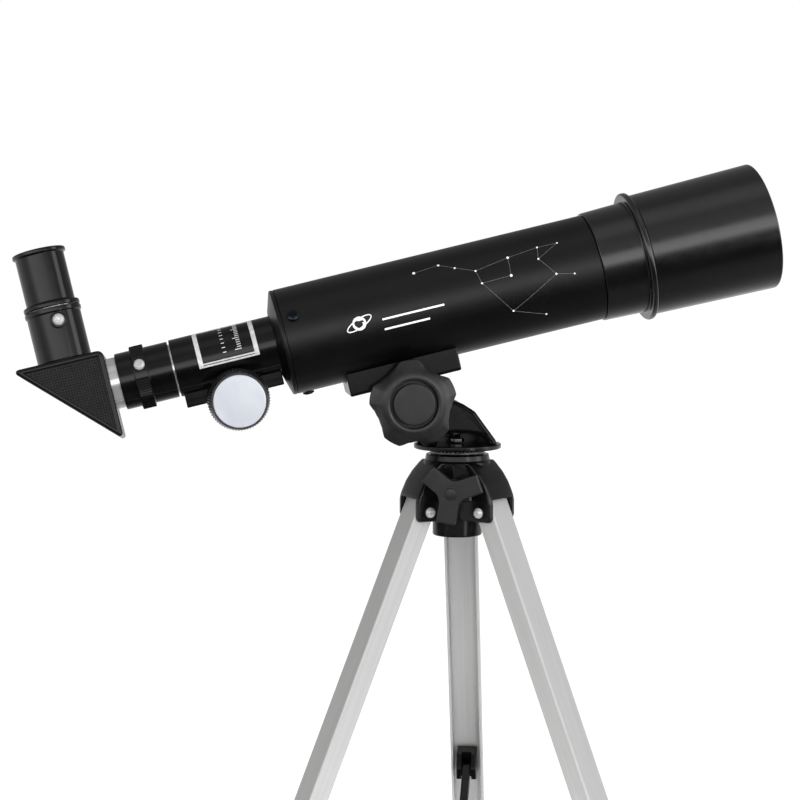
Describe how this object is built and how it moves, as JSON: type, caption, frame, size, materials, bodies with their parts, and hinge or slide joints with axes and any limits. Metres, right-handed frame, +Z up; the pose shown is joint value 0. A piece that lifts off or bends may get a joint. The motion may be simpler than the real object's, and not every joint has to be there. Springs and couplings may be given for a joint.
{
  "type": "telescope on tripod",
  "caption": "Small refracting telescope with star diagonal and rack focuser, on a pan and tilt head over a folding three-leg tabletop stand with leg brace.",
  "frame": {"origin": "on the surface that it stands on, under the middle of the bounding box", "axes": "+Z up, +X along the heading of the telescope, +Y to the side away from the clamp knob"},
  "size_m": [0.3688, 0.2492, 0.4498],
  "materials": {
    "satin_black": "satin",
    "gloss_black": "gloss",
    "matt_black": "fine texture",
    "bright_metal": "polished",
    "silver_inlay": "satin",
    "lens_glass": "polished",
    "mirror_glass": "polished",
    "leg_aluminium": "satin anodised",
    "foot_rubber": "matt"
  },
  "bodies": {
    "tripod": {"tripod_hub": "gloss_black", "leg_hinge_bolt_1": "bright_metal", "leg_hinge_bolt_2": "bright_metal", "leg_hinge_bolt_3": "bright_metal"},
    "leg_1_body": {"leg_1": "leg_aluminium", "leg_foot_1": "foot_rubber", "brace_bracket_1": "matt_black"},
    "brace_arm_1_body": {"brace_arm_1": "matt_black"},
    "leg_2_body": {"leg_2": "leg_aluminium", "leg_foot_2": "foot_rubber", "brace_bracket_2": "matt_black"},
    "brace_arm_2_body": {"brace_arm_2": "matt_black"},
    "leg_3_body": {"leg_3": "leg_aluminium", "leg_foot_3": "foot_rubber", "brace_bracket_3": "matt_black"},
    "brace_arm_3_body": {"brace_arm_3": "matt_black"},
    "brace_hub_body": {"brace_hub": "matt_black"},
    "azimuth_lock": {"azimuth_lock_knob": "matt_black"},
    "mount": {"pan_bracket": "matt_black", "pan_washer": "bright_metal", "azimuth_bolt": "bright_metal", "altitude_bolt": "bright_metal"},
    "altitude_clamp": {"altitude_knob": "matt_black", "altitude_knob_cap": "matt_black"},
    "tube": {"main_tube": "satin_black", "objective_cell": "satin_black", "crown_lens": "lens_glass", "flint_lens": "lens_glass", "lens_retaining_ring": "matt_black", "tube_baffle": "matt_black", "rear_cap": "gloss_black", "rear_cap_screw_1": "gloss_black", "rear_cap_screw_2": "gloss_black", "rear_cap_screw_3": "gloss_black", "focuser_housing": "gloss_black", "pinion_cover": "matt_black", "saddle_block": "matt_black"},
    "shield": {"dew_shield": "gloss_black"},
    "focus": {"focus_shaft": "bright_metal", "focus_pinion": "bright_metal", "focus_knob_near": "matt_black", "focus_knob_far": "matt_black", "focus_inlay_near": "silver_inlay", "focus_inlay_far": "silver_inlay"},
    "drawtube_body": {"drawtube": "bright_metal", "drawtube_head": "gloss_black", "focus_rack": "matt_black"},
    "drawtube_lock": {"drawtube_lock_screw": "bright_metal"},
    "diagonal": {"diagonal_shell_near": "matt_black", "diagonal_shell_far": "matt_black", "diagonal_mirror": "mirror_glass", "diagonal_barrel": "bright_metal", "eyepiece_socket": "gloss_black"},
    "eyepiece_lock": {"eyepiece_lock_screw": "bright_metal"},
    "eyepiece": {"eyepiece_barrel": "bright_metal", "eyepiece_body": "gloss_black", "eye_lens": "lens_glass", "field_lens": "lens_glass"}
  },
  "joints": [
    {"name": "azimuth_pan", "type": "hinge", "parent": "tripod", "child": "mount", "pos_m": [0.02767, -0.01947, 0.3135], "axis": [0, 0, 1], "continuous": true},
    {"name": "altitude_tilt", "type": "hinge", "parent": "mount", "child": "tube", "pos_m": [0.00297, -0.01947, 0.33615], "axis": [0, -1, 0], "range_deg": [-33, 45]},
    {"name": "altitude_clamp_turn", "type": "hinge", "parent": "mount", "child": "altitude_clamp", "pos_m": [0.00297, -0.01947, 0.33615], "axis": [0, -1, 0], "range_deg": [0, 720]},
    {"name": "azimuth_lock_turn", "type": "hinge", "parent": "tripod", "child": "azimuth_lock", "pos_m": [0.02016, -0.04852, 0.2938], "axis": [-0.2504, -0.9681, 0], "range_deg": [0, 720]},
    {"name": "dew_shield_slide", "type": "slide", "parent": "tube", "child": "shield", "axis": [0.9729, 0, 0.2311], "range_m": [0, 0.0097]},
    {"name": "focus_turn", "type": "hinge", "parent": "tube", "child": "focus", "pos_m": [-0.07865, -0.01947, 0.33843], "axis": [0, -1, 0], "range_deg": [0, 717]},
    {"name": "drawtube_slide", "type": "slide", "parent": "tube", "child": "drawtube_body", "axis": [-0.9729, 0, -0.2311], "range_m": [0, 0.06]},
    {"name": "drawtube_lock_turn", "type": "hinge", "parent": "drawtube_body", "child": "drawtube_lock", "pos_m": [-0.12494, -0.03397, 0.35505], "axis": [-0.0977, -0.9063, 0.4112], "range_deg": [0, 720]},
    {"name": "diagonal_roll", "type": "hinge", "parent": "drawtube_body", "child": "diagonal", "pos_m": [-0.1297, -0.01947, 0.34697], "axis": [0.9729, 0, 0.2311], "continuous": true},
    {"name": "eyepiece_lock_turn", "type": "hinge", "parent": "diagonal", "child": "eyepiece_lock", "pos_m": [-0.16215, -0.02936, 0.37619], "axis": [0.1289, -0.9767, 0.1717], "range_deg": [0, 720]},
    {"name": "eyepiece_slide", "type": "slide", "parent": "diagonal", "child": "eyepiece", "axis": [-0.2288, 0.1392, 0.9635], "range_m": [0, 0.024]},
    {"name": "leg_1_fold", "type": "hinge", "parent": "tripod", "child": "leg_1_body", "pos_m": [0.032, 0.00005, 0.2835], "axis": [-0.9763, 0.2164, 0], "range_deg": [0, 22.5]},
    {"name": "leg_2_fold", "type": "hinge", "parent": "tripod", "child": "leg_2_body", "pos_m": [0.0086, -0.02549, 0.2835], "axis": [0.3007, -0.9537, 0], "range_deg": [0, 22.5]},
    {"name": "leg_3_fold", "type": "hinge", "parent": "tripod", "child": "leg_3_body", "pos_m": [0.04242, -0.03298, 0.2835], "axis": [0.6756, 0.7373, 0], "range_deg": [0, 22.5]},
    {"name": "brace_arm_1_swing", "type": "hinge", "parent": "leg_1_body", "child": "brace_arm_1_body", "pos_m": [0.04385, 0.05352, 0.133], "axis": [-0.9763, 0.2164, 0], "range_deg": [-80.4, 0]},
    {"name": "brace_arm_2_swing", "type": "hinge", "parent": "leg_2_body", "child": "brace_arm_2_body", "pos_m": [-0.04363, -0.04195, 0.133], "axis": [0.3007, -0.9537, 0], "range_deg": [-80.4, 0]},
    {"name": "brace_arm_3_swing", "type": "hinge", "parent": "leg_3_body", "child": "brace_arm_3_body", "pos_m": [0.08279, -0.06998, 0.133], "axis": [0.6756, 0.7373, 0], "range_deg": [-80.4, 0]},
    {"name": "brace_hub_slide", "type": "slide", "parent": "tripod", "child": "brace_hub_body", "axis": [0, 0, -1], "range_m": [0, 0.047]}
  ],
  "couplings": [
    {"joint": "focus_turn", "follows": "drawtube_slide", "rad_per_m": 208.33},
    {"joint": "leg_2_fold", "follows": "leg_1_fold", "ratio": 1},
    {"joint": "leg_3_fold", "follows": "leg_1_fold", "ratio": 1},
    {"joint": "brace_arm_1_swing", "follows": "leg_1_fold", "ratio": -3.5645},
    {"joint": "brace_arm_2_swing", "follows": "leg_1_fold", "ratio": -3.5645},
    {"joint": "brace_arm_3_swing", "follows": "leg_1_fold", "ratio": -3.5645},
    {"joint": "brace_hub_slide", "follows": "leg_1_fold", "m_per_rad": 0.11925}
  ]
}
